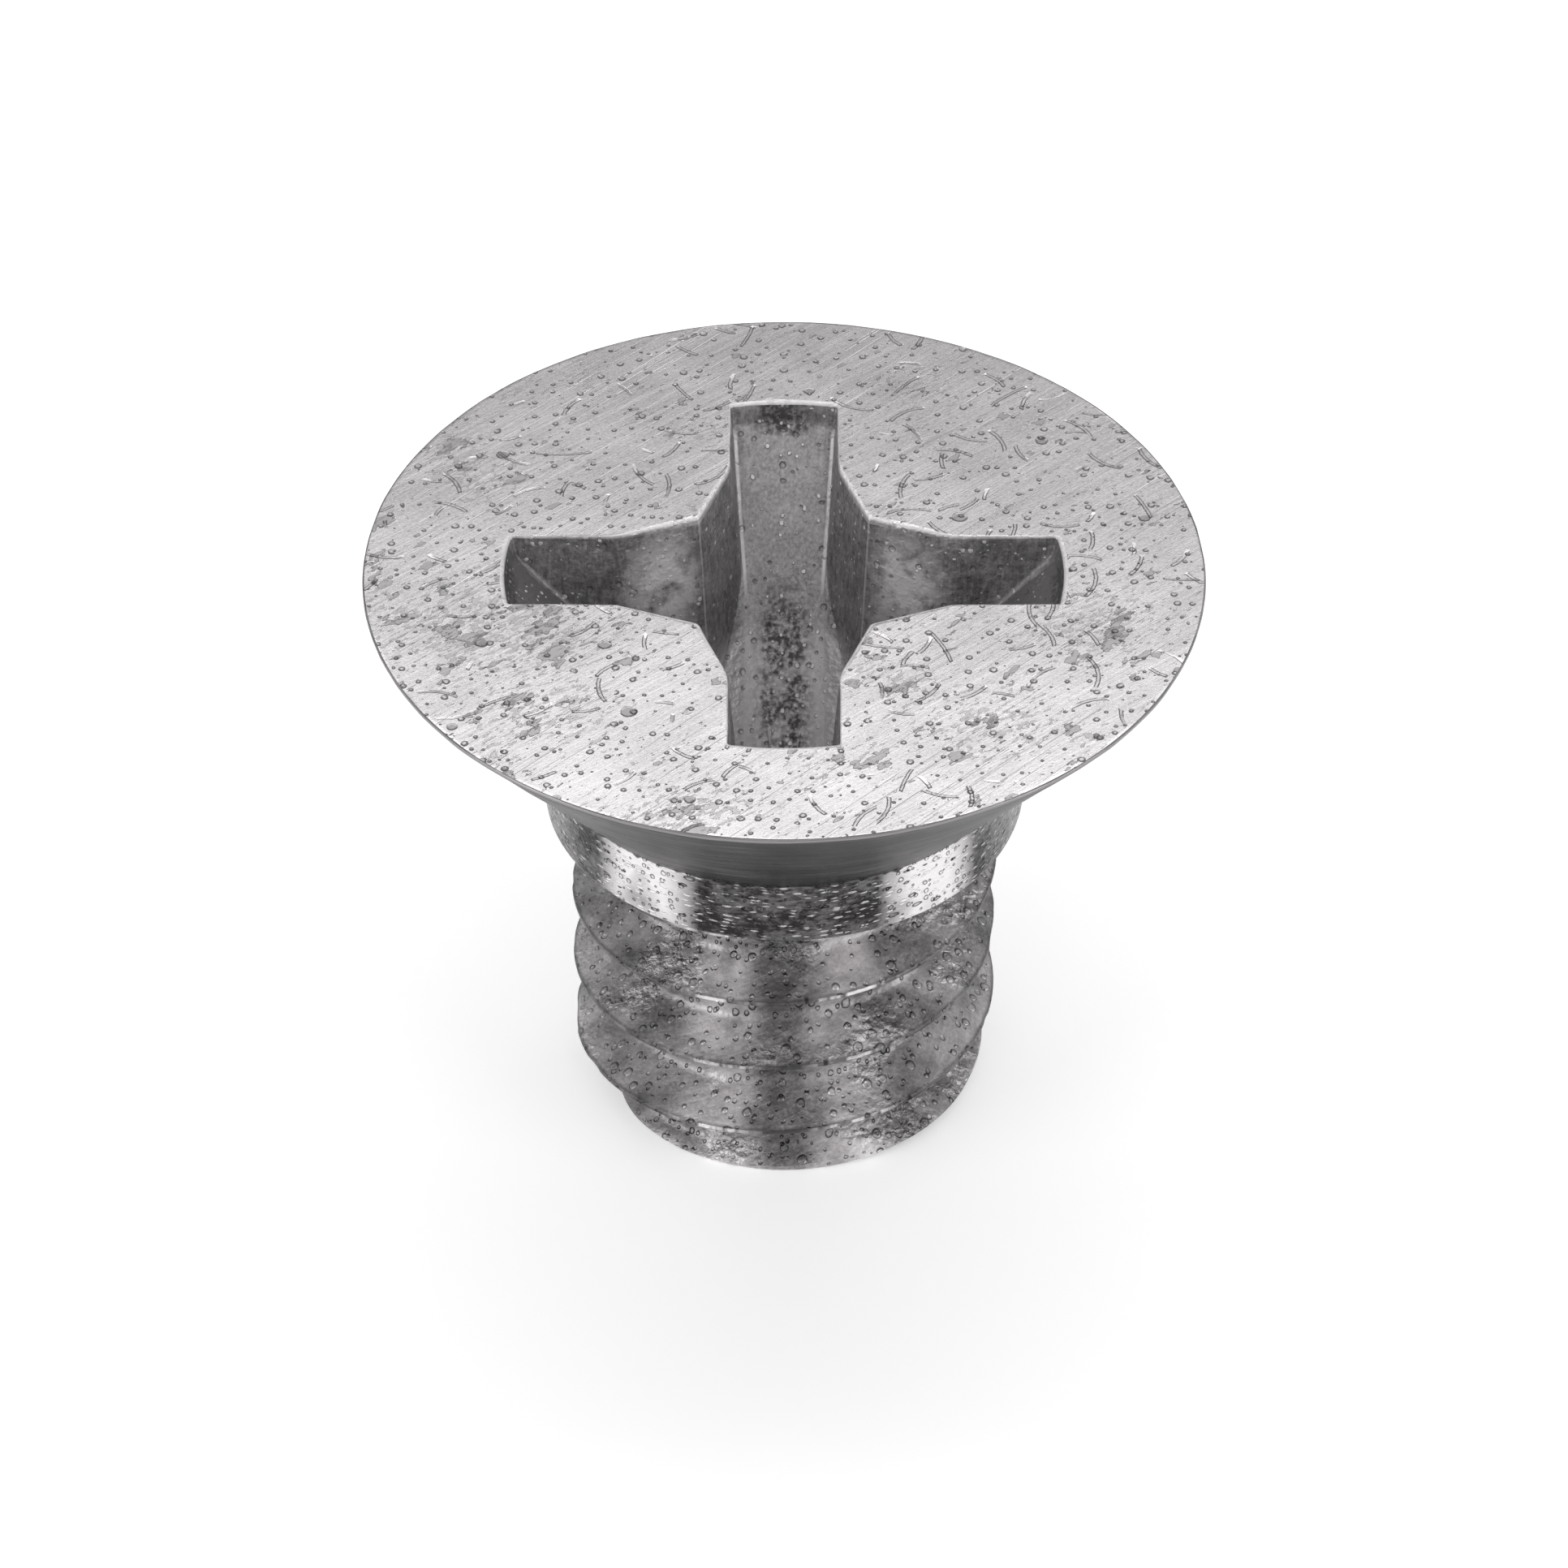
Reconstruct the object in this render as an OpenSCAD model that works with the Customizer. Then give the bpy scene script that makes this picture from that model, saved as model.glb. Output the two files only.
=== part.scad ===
/* [Head] */
// Diameter across the rim of the head
head_d = 12.24; // [11.6:0.02:12.8]
// Included angle of the countersunk underside, in degrees
cone_angle = 82; // [80:1:90]
// Height of the narrow upright band around the rim
rim_h = 0.06; // [0.04:0.01:0.2]

/* [Shoulder] */
// Diameter of the plain shoulder between the cone and the thread
shoulder_d = 7.1; // [6.8:0.02:7.6]
// Height of the plain shoulder
shoulder_h = 1.04; // [0.6:0.02:1.4]

/* [Shank] */
// Overall length, from the flat of the head to the end face
length = 9.3; // [8.4:0.1:12.8]
// Diameter over the thread crests
thread_d = 6.35; // [6.12:0.01:6.4]
// Advance of the thread in one turn
pitch = 1.27; // [1.1:0.01:1.4]
// Depth of the thread groove, from crest to root
thread_depth = 0.68; // [0.5:0.01:0.72]
// Width of the flat left on the thread crest
crest_w = 0.12; // [0.08:0.01:0.2]
// Angle between the two flanks of the groove, in degrees
flank_angle = 60; // [55:1:60]
// Turn of the thread about its axis, in degrees
thread_start = 120; // [0:5:355]
// Diameter of the flat end face
end_d = 5.44; // [5.2:0.02:5.8]
// Height of the chamfer at the end
end_chamfer_h = 0.46; // [0.3:0.02:0.6]

/* [Recess] */
// Distance across the recess, from wing tip to wing tip
recess_span = 8.14; // [7.2:0.02:8.6]
// Width of each wing at the mouth
wing_w = 1.6; // [1.4:0.02:1.8]
// Lean of the wing walls towards each other with depth, in degrees
wing_draft = 5; // [3:0.5:7]
// Distance of each inner corner from both centre planes, at the mouth
corner_offset = 1.24; // [1.15:0.01:1.35]
// Angle between a wing and the flare that widens it to the inner corner, in degrees
flare_angle = 20.5; // [15:0.5:25]
// Lean of the flare walls with depth, in degrees
flare_draft = 3.8; // [2:0.1:5]
// Depth of the steep wall at each wing tip
tip_depth = 0.33; // [0.25:0.01:0.5]
// Lean of the wing tip walls with depth, in degrees
tip_draft = 12; // [5:1:15]
// Distance from the axis to the slight bend in the wing floors
bend_r = 3.2; // [2.8:0.02:3.5]
// Depth of the bend in the wing floors
bend_depth = 1.2; // [1:0.02:1.4]
// Radius of the blunt cone that ends the recess
bottom_r = 0.9; // [0.7:0.02:1.1]
// Depth at which that cone begins
bottom_depth = 4.32; // [3.8:0.02:4.4]
// Depth of the recess on the axis
recess_depth = 4.6; // [4.42:0.02:4.8]
// Width of the worn bevel around the mouth of the recess
lip_bevel = 0.065; // [0.03:0.005:0.12]

/* [Hidden] */
$fn = 96;

head_r = head_d / 2;
shoulder_r = shoulder_d / 2;
cone_h = (head_r - shoulder_r) / tan(cone_angle / 2);
cone_bottom_z = length - rim_h - cone_h;
shoulder_bottom_z = cone_bottom_z - shoulder_h;

// The thread groove is swept as a chain of straight steps. It opens a little past the crests, so
// that only its flanks and its root cut the shank, and runs on past both ends of the thread.
crest_r = thread_d / 2;
root_r = crest_r - thread_depth;
groove_margin = 0.06;
groove_r = crest_r + groove_margin;
flank_lean = tan(flank_angle / 2);
mouth_half_w = (pitch - crest_w) / 2;
groove_half_w = mouth_half_w + groove_margin * flank_lean;
root_half_w = mouth_half_w - thread_depth * flank_lean;
steps_per_turn = 48;
groove_bottom_z = -pitch;
groove_steps = ceil((shoulder_bottom_z + 2 * pitch) / pitch) * steps_per_turn;

// Cutters stand this far above the flat of the head.
over_cut = 0.5;
tip_r = recess_span / 2;
flare_half_w = corner_offset * (cos(flare_angle) + sin(flare_angle));
lip_slope = 45;
lip_depth = 3 * lip_bevel;

// The four corners of the groove's section at height z, from the upper edge of its mouth round
// the root to the lower edge.
function groove_section(z) = [
    [groove_r, z + groove_half_w],
    [root_r, z + root_half_w],
    [root_r, z - root_half_w],
    [groove_r, z - groove_half_w]
];

// A right-hand helical groove, wide at its mouth and narrow at its root.
module thread_groove() {
    corners = len(groove_section(0));
    points = [
        for (i = [0 : groove_steps])
            let (angle = 360 * i / steps_per_turn + thread_start)
                for (p = groove_section(groove_bottom_z + pitch * i / steps_per_turn))
                    [p[0] * cos(angle), p[0] * sin(angle), p[1]]
    ];
    sides = [
        for (i = [0 : groove_steps - 1], c = [0 : corners - 1])
            let (
                a = i * corners + c,
                b = i * corners + (c + 1) % corners
            )
                each [[a, b, a + corners], [b, b + corners, a + corners]]
    ];
    start_cap = [for (c = [corners - 1 : -1 : 0]) c];
    end_cap = [for (c = [0 : corners - 1]) groove_steps * corners + c];
    polyhedron(points = points, faces = concat([start_cap], sides, [end_cap]));
}

// The shank up to the shoulder, chamfered at its end and cut by the thread groove.
module threaded_shank() {
    difference() {
        rotate_extrude()
            polygon([
                [0, 0],
                [end_d / 2, 0],
                [crest_r, end_chamfer_h],
                [crest_r, shoulder_bottom_z],
                [0, shoulder_bottom_z]
            ]);
        thread_groove();
    }
}

// The countersunk head and the plain shoulder under it, turned as one profile.
module head_blank() {
    rotate_extrude()
        polygon([
            [0, shoulder_bottom_z],
            [shoulder_r, shoulder_bottom_z],
            [shoulder_r, cone_bottom_z],
            [head_r, length - rim_h],
            [head_r, length],
            [0, length]
        ]);
}

// A long bar through the axis, turned by angle, whose two walls lean in by draft with depth.
// It is half_w wide on each side at the flat of the head.
module drafted_bar(half_w, draft, depth, angle) {
    top_half_w = half_w + over_cut * tan(draft);
    bottom_half_w = half_w - depth * tan(draft);
    rotate([0, 0, angle])
        rotate([90, 0, 90])
            linear_extrude(height = head_d, center = true)
                polygon([
                    [-top_half_w, over_cut],
                    [-bottom_half_w, -depth],
                    [bottom_half_w, -depth],
                    [top_half_w, over_cut]
                ]);
}

// Two crossed wings, each widened by flares that meet the other wing's at the inner corners.
module cross_section_solid(grow, wing_lean, flare_lean, depth) {
    for (turn = [0, 90]) {
        drafted_bar(wing_w / 2 + grow, wing_lean, depth, turn);
        intersection() {
            drafted_bar(flare_half_w + grow, flare_lean, depth, turn + flare_angle);
            drafted_bar(flare_half_w + grow, flare_lean, depth, turn - flare_angle);
        }
    }
}

// The cross recess below z = 0: the crossed wings, limited by a turned tip wall, floor and blunt
// bottom.
module cross_recess() {
    intersection() {
        cross_section_solid(0, wing_draft, flare_draft, recess_depth + over_cut);
        rotate_extrude()
            polygon([
                [0, -recess_depth],
                [bottom_r, -bottom_depth],
                [bend_r, -bend_depth],
                [tip_r - tip_depth * tan(tip_draft), -tip_depth],
                [tip_r + over_cut * tan(tip_draft), over_cut],
                [0, over_cut]
            ]);
    }
}

// The bevel around the mouth, which runs out where it meets the walls of the recess.
module recess_lip() {
    intersection() {
        cross_section_solid(lip_bevel, lip_slope, lip_slope, lip_depth);
        rotate_extrude()
            polygon([
                [0, -lip_depth],
                [tip_r + lip_bevel - lip_depth * tan(lip_slope), -lip_depth],
                [tip_r + lip_bevel + over_cut * tan(lip_slope), over_cut],
                [0, over_cut]
            ]);
    }
}

module screw() {
    color("#9a9ca0")
        difference() {
            union() {
                head_blank();
                threaded_shank();
            }
            translate([0, 0, length]) {
                cross_recess();
                recess_lip();
            }
        }
}

screw();
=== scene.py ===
"""A short countersunk machine screw with a cross recess, in worn bare steel, standing on its end.

Sizes are in metres, and MM turns millimetres into them. Colours are sRGB hex values.
"""

import math

import bmesh
import bpy
import numpy as np
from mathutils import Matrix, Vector


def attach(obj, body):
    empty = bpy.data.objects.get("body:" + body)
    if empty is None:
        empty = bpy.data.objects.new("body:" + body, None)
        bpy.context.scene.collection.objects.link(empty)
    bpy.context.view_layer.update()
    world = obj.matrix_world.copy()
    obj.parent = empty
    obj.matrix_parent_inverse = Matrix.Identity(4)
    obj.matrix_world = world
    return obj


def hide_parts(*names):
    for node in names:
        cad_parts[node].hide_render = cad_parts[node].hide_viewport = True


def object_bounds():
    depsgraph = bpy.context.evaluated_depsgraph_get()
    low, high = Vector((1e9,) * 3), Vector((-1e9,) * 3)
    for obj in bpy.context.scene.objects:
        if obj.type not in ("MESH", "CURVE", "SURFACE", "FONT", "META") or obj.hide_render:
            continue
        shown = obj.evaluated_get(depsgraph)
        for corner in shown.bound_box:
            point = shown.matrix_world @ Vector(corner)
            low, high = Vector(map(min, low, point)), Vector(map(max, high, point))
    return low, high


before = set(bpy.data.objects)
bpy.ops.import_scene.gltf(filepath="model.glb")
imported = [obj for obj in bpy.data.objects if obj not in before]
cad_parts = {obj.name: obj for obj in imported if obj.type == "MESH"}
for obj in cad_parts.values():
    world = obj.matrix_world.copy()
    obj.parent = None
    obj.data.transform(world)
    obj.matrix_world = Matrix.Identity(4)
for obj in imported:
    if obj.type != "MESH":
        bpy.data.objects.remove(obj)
CAD_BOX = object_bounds()

bl_info = {
    "name": "Countersunk Machine Screw",
    "version": (1, 0, 0),
    "blender": (4, 5, 0),
    "location": "View3D > Sidebar > Screw",
    "description": "Builds a worn steel countersunk screw with a cross recess, and a pale studio",
    "category": "Add Mesh",
}

MM = 0.001
# Height of the flat of the head.
HEAD_TOP = CAD_BOX[1].z


def linear(hex_colour):
    """Turns an sRGB hex colour into linear RGBA: each channel by the sRGB curve, alpha 1."""
    channels = [int(hex_colour[i:i + 2], 16) / 255 for i in (1, 3, 5)]
    lit = [c / 12.92 if c <= 0.04045 else ((c + 0.055) / 1.055) ** 2.4 for c in channels]
    return (*lit, 1.0)


def length_size(default, name, description):
    """A size property in metres, written here in millimetres."""
    return bpy.props.FloatProperty(
        name=name, description=description, default=default * MM, min=0.0, unit="LENGTH"
    )


def angle_size(default, name, description):
    """An angle property in radians, written here in degrees."""
    return bpy.props.FloatProperty(
        name=name, description=description, default=math.radians(default), subtype="ANGLE"
    )


def colour(default, name, description):
    """A colour property, written here as a hex value."""
    return bpy.props.FloatVectorProperty(
        name=name, description=description, default=linear(default), size=4,
        min=0.0, max=1.0, subtype="COLOR",
    )


# ---------------------------------------------------------------- sizes and colours


class ScrewHeadSettings(bpy.types.PropertyGroup):
    """Sizes of the head and of the shoulder under it."""

    diameter: length_size(12.24, "Head diameter", "Across the rim of the head")
    cone_angle: angle_size(82, "Cone angle", "Included angle of the countersunk underside")
    rim_height: length_size(0.06, "Rim height", "Upright band around the rim")
    rim_round: length_size(0.025, "Rim rounding", "How far the rim's edges are worn back")
    shoulder_diameter: length_size(7.1, "Shoulder diameter", "Plain shoulder under the cone")
    shoulder_height: length_size(1.04, "Shoulder height", "Height of the plain shoulder")
    shoulder_fillet: length_size(0.04, "Shoulder fillet", "Blend between cone and shoulder")
    shoulder_round: length_size(0.035, "Shoulder edge", "Rounding of the shoulder's lower edge")


class ScrewThreadSettings(bpy.types.PropertyGroup):
    """Sizes of the threaded shank."""

    diameter: length_size(6.35, "Thread diameter", "Over the thread crests")
    pitch: length_size(1.27, "Pitch", "Advance of the thread in one turn")
    depth: length_size(0.68, "Thread depth", "From crest to root")
    crest_width: length_size(0.08, "Crest width", "Flat left on the crest")
    flank_angle: angle_size(60, "Flank angle", "Between the two flanks of the groove")
    start: angle_size(120, "Thread start", "Turn of the thread about its axis")
    crest_round: length_size(0.05, "Crest rounding", "How far the crest's edges are worn back")
    root_round: length_size(0.10, "Root rounding", "Blend between flank and root")
    end_diameter: length_size(5.44, "End diameter", "Flat end face")
    chamfer_height: length_size(0.46, "End chamfer", "Height of the chamfer at the end")
    nick_depth: length_size(0.035, "Nicks", "Depth of the small dents along the crests")


class ScrewRecessSettings(bpy.types.PropertyGroup):
    """Sizes of the cross recess."""

    span: length_size(8.14, "Recess span", "From wing tip to wing tip")
    wing_width: length_size(1.6, "Wing width", "Width of each wing at the mouth")
    wing_draft: angle_size(5, "Wing draft", "Lean of the wing walls with depth")
    corner: length_size(1.24, "Inner corner", "Distance of the corner from both centre planes")
    flare_angle: angle_size(20.5, "Flare angle", "Between a wing and its flare")
    flare_draft: angle_size(3.8, "Flare draft", "Lean of the flare walls with depth")
    tip_depth: length_size(0.33, "Tip depth", "Depth of the steep wall at each wing tip")
    tip_draft: angle_size(12, "Tip draft", "Lean of the wing tip walls")
    bend_radius: length_size(3.2, "Floor bend radius", "Where the wing floors bend")
    bend_depth: length_size(1.2, "Floor bend depth", "Depth of that bend")
    bottom_radius: length_size(0.9, "Bottom radius", "Where the blunt bottom begins")
    bottom_depth: length_size(4.32, "Bottom depth", "Depth at which the bottom begins")
    depth: length_size(4.6, "Recess depth", "Depth on the axis")
    lip_out: length_size(0.06, "Lip on the flat", "How far the mouth's worn lip reaches outwards")
    lip_down: length_size(0.035, "Lip on the wall", "How far the mouth's worn lip reaches down")
    crease: length_size(0.045, "Crease", "Rounding where the walls meet the floor")


class ScrewSteelSettings(bpy.types.PropertyGroup):
    """Colours of the steel, as each part of the screw shows it."""

    # The bright ground tone also paints the painted highlights, glints and reflections in the
    # recess, on the shoulder and along the thread's crests.
    ground_light: colour("#f0edee", "Ground steel, bright", "Bright tone of the flat of the head")
    ground_dark: colour("#b4b1b2", "Ground steel, dull", "Dull tone of the flat of the head")
    stain: colour("#939192", "Stain", "Grey film in spots and pits on the flat of the head")
    rim: colour("#4a4849", "Pit rims", "Dark outlines of pits and scratches on the flat")
    turned_light: colour("#8c8a8b", "Turned steel, bright", "Bright tone of cone and shoulder")
    turned_dark: colour("#312f30", "Turned steel, dull", "Dull tone of cone and shoulder")
    rolled_light: colour("#e6e3e4", "Rolled steel, bright", "Bright tone of the thread")
    rolled_dark: colour("#817f80", "Rolled steel, dull", "Dull tone of the thread")
    recess_light: colour("#d0cdce", "Recess steel, bright", "Bright tone inside the recess")
    recess_dark: colour("#7b797a", "Recess steel, dull", "Dull tone inside the recess")
    recess_film: colour("#575556", "Oily film", "Dark film left in the recess")
    # Old oil also paints the dark line of painted shade in the groove under the cone.
    groove: colour("#242223", "Old oil", "Dark line in grooves, pits and nicks")


class StudioSettings(bpy.types.PropertyGroup):
    """The floor, the lights and the camera."""

    floor: colour("#f4f4f4", "Floor colour", "Pale floor under the screw")
    floor_lift: bpy.props.FloatProperty(
        name="Floor lift", description="Paleness added to the floor as it is seen", default=0.4,
        min=0.0,
    )
    world: colour("#f4f4f4", "Room colour", "Even light from all around")
    world_strength: bpy.props.FloatProperty(
        name="Room strength", description="Strength of the even light", default=0.42, min=0.0
    )
    lens: bpy.props.FloatProperty(
        name="Lens", description="Focal length of the camera", default=175.4, unit="CAMERA"
    )
    elevation: angle_size(39.5, "Elevation", "Height of the camera above the horizon")
    distance: length_size(113.5, "Distance", "From the camera to the point it looks at")
    aim_height: length_size(5.27, "Aim height", "Height of the point the camera looks at")


def settings():
    """The groups of sizes and colours, from the scene."""
    return bpy.context.scene.countersunk_screw


# ---------------------------------------------------------------- surfaces

# How much each coordinate and a seed turn the sine that scrambles them, and how far the sine is
# stretched before its fraction is taken.
LATTICE_TURNS = np.array([12.9898, 78.233, 37.719])
SEED_TURN = 17.13
LATTICE_STRETCH = 43758.5453


def lattice_value(corner, seed):
    """A fixed pseudo-random value from 0 to 1 at each whole-number point: the fraction of a large
    multiple of a sine of the point's weighted coordinates."""
    scrambled = np.sin(corner @ LATTICE_TURNS + seed * SEED_TURN) * LATTICE_STRETCH
    return scrambled - np.floor(scrambled)


def noise(points, cell, seed):
    """Smooth noise from -1 to 1 at points (..., 3): the values at the eight corners of the cell
    around each point, blended along each axis by 3t^2 - 2t^3."""
    scaled = points / cell
    base = np.floor(scaled)
    t = scaled - base
    t = t * t * (3 - 2 * t)
    total = 0.0
    for step in np.ndindex(2, 2, 2):
        weight = np.prod(np.where(step, t, 1 - t), axis=-1)
        total = total + weight * lattice_value(base + step, seed)
    return 2 * total - 1


def smooth_min(a, b, width):
    """The lesser of a and b, rounded over width: min(a, b) - width * h^2 / 4, where h is how much
    of width the two values' difference leaves, from 0 to 1."""
    h = np.clip(width - np.abs(a - b), 0, None) / width
    return np.minimum(a, b) - h * h * width / 4


def smooth_max(a, b, width):
    """The greater of a and b, rounded over width, as smooth_min does for the lesser."""
    return -smooth_min(-a, -b, width)


def towards(start, goal, distance):
    """The point at distance from start on the straight line to goal, for arrays of points."""
    span = goal - start
    return start + span * (distance / np.linalg.norm(span, axis=-1, keepdims=True))


def in_rows(shares, points):
    """Shares on an axis of their own, before the axes of an array of points."""
    return shares.reshape(-1, *[1] * points.ndim)


def straight(start, goal, shares):
    """A row of points for each share of the line from start to goal: start + share * (goal -
    start)."""
    return start + in_rows(shares, start) * (goal - start)


def curve(start, control, goal, t):
    """Points at shares t of the quadratic curve from start to goal that leans to control:
    (1-t)^2 start + 2t(1-t) control + t^2 goal."""
    return (1 - t) ** 2 * start + 2 * t * (1 - t) * control + t ** 2 * goal


def rounded(before, corner, after, setback, count, setback_after=None):
    """A corner replaced by the quadratic curve between the points at a setback on either side."""
    start = towards(corner, before, setback)
    goal = towards(corner, after, setback_after or setback)
    return curve(start, corner, goal, in_rows(np.linspace(0, 1, count), start))


def between(count):
    """Shares strictly between 0 and 1, closer together at both ends: (1 - cos(pi k / n)) / 2."""
    return (1 - np.cos(math.pi * np.arange(1, count + 1) / (count + 1))) / 2


# Columns of the grid in an eighth of a turn, for each stretch of the recess's outline: tip arc,
# tip corner, straight side, join to the flare, flare and inner corner.
STRETCH_COLUMNS = (8, 8, 13, 6, 19, 6)
COLUMNS = 8 * sum(STRETCH_COLUMNS)
# The angle at which the columns begin and end, behind the screw.
SEAM = math.radians(135)
# How far the outline's corners are rounded back.
TIP_CORNER_SETBACK = 0.05 * MM
JOIN_SETBACK = 0.14 * MM
INNER_CORNER_SETBACK = 0.06 * MM

# Rows of the grid in each part of the profile.
FLOOR_ROWS = 16
CREASE_ROWS = 5
WALL_ROWS = 8
LIP_ROWS = 5
# The rim's two edges, the fillet under the cone and the shoulder's lower edge.
BEND_ROWS = (4, 4, 7, 4)
CONE_ROWS = 8
SHOULDER_ROWS = 7
END_ROWS = 5
# Rows of the rim that are marked, which the cone's material paints lighter.
RIM_ROWS = 5
# Rows of the flat from the lip to the rim. The first and last are narrow, so that the bend at
# either edge shades only a thin line.
FLAT_SHARES = np.array([0.012, 0.35, 0.7, 0.988, 1.0])
# Rows of the thread, as shares of half a crest and on past its worn edge, of a flank, and of the
# way from the flank's foot to the middle of the root.
CREST_SHARES = np.array([0.0, 0.5, 0.75, 0.9, 1.0, 1.15, 1.35])
FLANK_SHARES = np.array([0.12, 0.3, 0.55, 0.75, 0.88, 1.0])
ROOT_SHARES = np.array([0.25, 0.6])


def recess_columns():
    """The stretch and share along it of each column over one turn, with the side of its wing
    (-1 or 1) and its wing's angle. A wing runs from one inner corner over its tip to the next."""
    stretch = np.repeat(np.arange(len(STRETCH_COLUMNS)), STRETCH_COLUMNS)
    share = np.concatenate([(np.arange(n) + 0.5) / n for n in STRETCH_COLUMNS])
    side = np.repeat([-1.0, 1.0], len(stretch))
    wing = [np.concatenate([stretch[::-1], stretch]), np.concatenate([share[::-1], share]), side]
    wing_angle = np.repeat(SEAM + math.pi / 4 + np.arange(4) * math.pi / 2, len(side))
    return *(np.tile(part, 4) for part in wing), wing_angle


def recess_outline(recess, columns, depth):
    """Where each column meets the recess's walls at its depth, as x, y. Half a wing is a tip arc
    about the axis, a straight side, and a flare on the line x sin a + y cos a = h that ends at
    the inner corner x = y. Each corner is a quadratic curve. Width and h shrink with depth."""
    stretch, share, side, wing_angle = columns
    half_w = recess.wing_width / 2 - depth * math.tan(recess.wing_draft)
    sin_a, cos_a = math.sin(recess.flare_angle), math.cos(recess.flare_angle)
    reach = recess.corner * (cos_a + sin_a) - depth * math.tan(recess.flare_draft)
    tip_r = recess.span / 2 - depth * math.tan(recess.tip_draft)
    inner = reach / (cos_a + sin_a)

    tip_angle = np.arcsin(half_w / tip_r)
    arc_end = tip_angle - TIP_CORNER_SETBACK / tip_r
    tip_corner = np.stack([tip_r * np.cos(tip_angle), half_w], axis=-1)
    join = np.stack([(reach - half_w * cos_a) / sin_a, half_w], axis=-1)
    inner_corner = np.stack([inner, inner], axis=-1)

    def arc(angle):
        return ring(tip_r, 0, angle)[..., :2]

    side_start = towards(tip_corner, join, TIP_CORNER_SETBACK)
    side_end = towards(join, tip_corner, JOIN_SETBACK)
    flare_start = towards(join, inner_corner, JOIN_SETBACK)
    flare_end = towards(inner_corner, join, INNER_CORNER_SETBACK)
    t = share[:, None]
    stretches = [
        arc(share * arc_end),
        curve(arc(arc_end), tip_corner, side_start, t),
        side_start + t * (side_end - side_start),
        curve(side_end, join, flare_start, t),
        flare_start + t * (flare_end - flare_start),
        curve(flare_end, inner_corner, flare_end[:, ::-1], t / 2),
    ]
    half_wing = np.choose(stretch[:, None], stretches)
    x, y = half_wing[:, 0], half_wing[:, 1] * side
    cos_w, sin_w = np.cos(wing_angle), np.sin(wing_angle)
    return np.stack([x * cos_w - y * sin_w, x * sin_w + y * cos_w], axis=-1)


def floor_depth(recess, radius):
    """Depth of the recess's turned floor at a radius: straight from the foot of the tip wall to
    the bend, on to the edge of the bottom, and to the axis."""
    tip_foot = recess.span / 2 - recess.tip_depth * math.tan(recess.tip_draft)
    radii = [0, recess.bottom_radius, recess.bend_radius, tip_foot, recess.span]
    outside = recess.tip_depth - (recess.span - tip_foot)
    depths = [recess.depth, recess.bottom_depth, recess.bend_depth, recess.tip_depth, outside]
    return np.interp(radius, radii, depths)


def wall_foot(recess, columns):
    """The depth at which each column's wall meets the floor, found by halving the interval in
    which the wall passes through the floor."""
    low = np.zeros(COLUMNS)
    high = np.full(COLUMNS, recess.depth)
    halvings = 30
    for _ in range(halvings):
        middle = (low + high) / 2
        radius = np.linalg.norm(recess_outline(recess, columns, middle), axis=-1)
        above = middle < floor_depth(recess, radius)
        low = np.where(above, middle, low)
        high = np.where(above, high, middle)
    return (low + high) / 2


def wall_points(recess, columns, depth):
    """Points x, y, z of the recess's walls at each column's depth."""
    outline = recess_outline(recess, columns, depth)
    return np.concatenate([outline, (HEAD_TOP - depth)[:, None]], axis=-1)


def floor_points(recess, angle, radius):
    """Points of the recess's floor at an angle and a radius."""
    return ring(radius, HEAD_TOP - floor_depth(recess, radius), angle)


def ring(radius, z, angle):
    """Points on level circles, for radii and heights (rows, columns or 1) and column angles."""
    radius, z, angle = np.broadcast_arrays(radius, z, angle)
    return np.stack([radius * np.cos(angle), radius * np.sin(angle), z], axis=-1)


def recess_rows(recess, head, columns, angle):
    """Rows of the grid from the middle of the recess's floor out to the rim: the floor along
    straight lines from the axis, the crease, the drafted wall, the lip and the flat."""
    mouth = wall_points(recess, columns, np.zeros(COLUMNS))
    foot = wall_points(recess, columns, wall_foot(recess, columns))
    foot_r = np.linalg.norm(foot[:, :2], axis=-1)
    foot_angle = np.arctan2(foot[:, 1], foot[:, 0])
    just_inside = 0.97
    inward = floor_points(recess, foot_angle, foot_r * just_inside)
    crease = rounded(inward, foot, mouth, recess.crease, CREASE_ROWS)
    crease_r = np.linalg.norm(crease[0, :, :2], axis=-1)
    floor = floor_points(recess, foot_angle, crease_r * between(FLOOR_ROWS)[:, None])

    rim = ring(head.diameter / 2 - head.rim_round, HEAD_TOP, angle)
    lip = rounded(foot, mouth, rim, recess.lip_down, LIP_ROWS, recess.lip_out)
    wall = straight(crease[-1], lip[0], between(WALL_ROWS))
    flat = straight(lip[-1], rim, FLAT_SHARES)
    return floor, np.concatenate([crease, wall, lip]), flat


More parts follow.
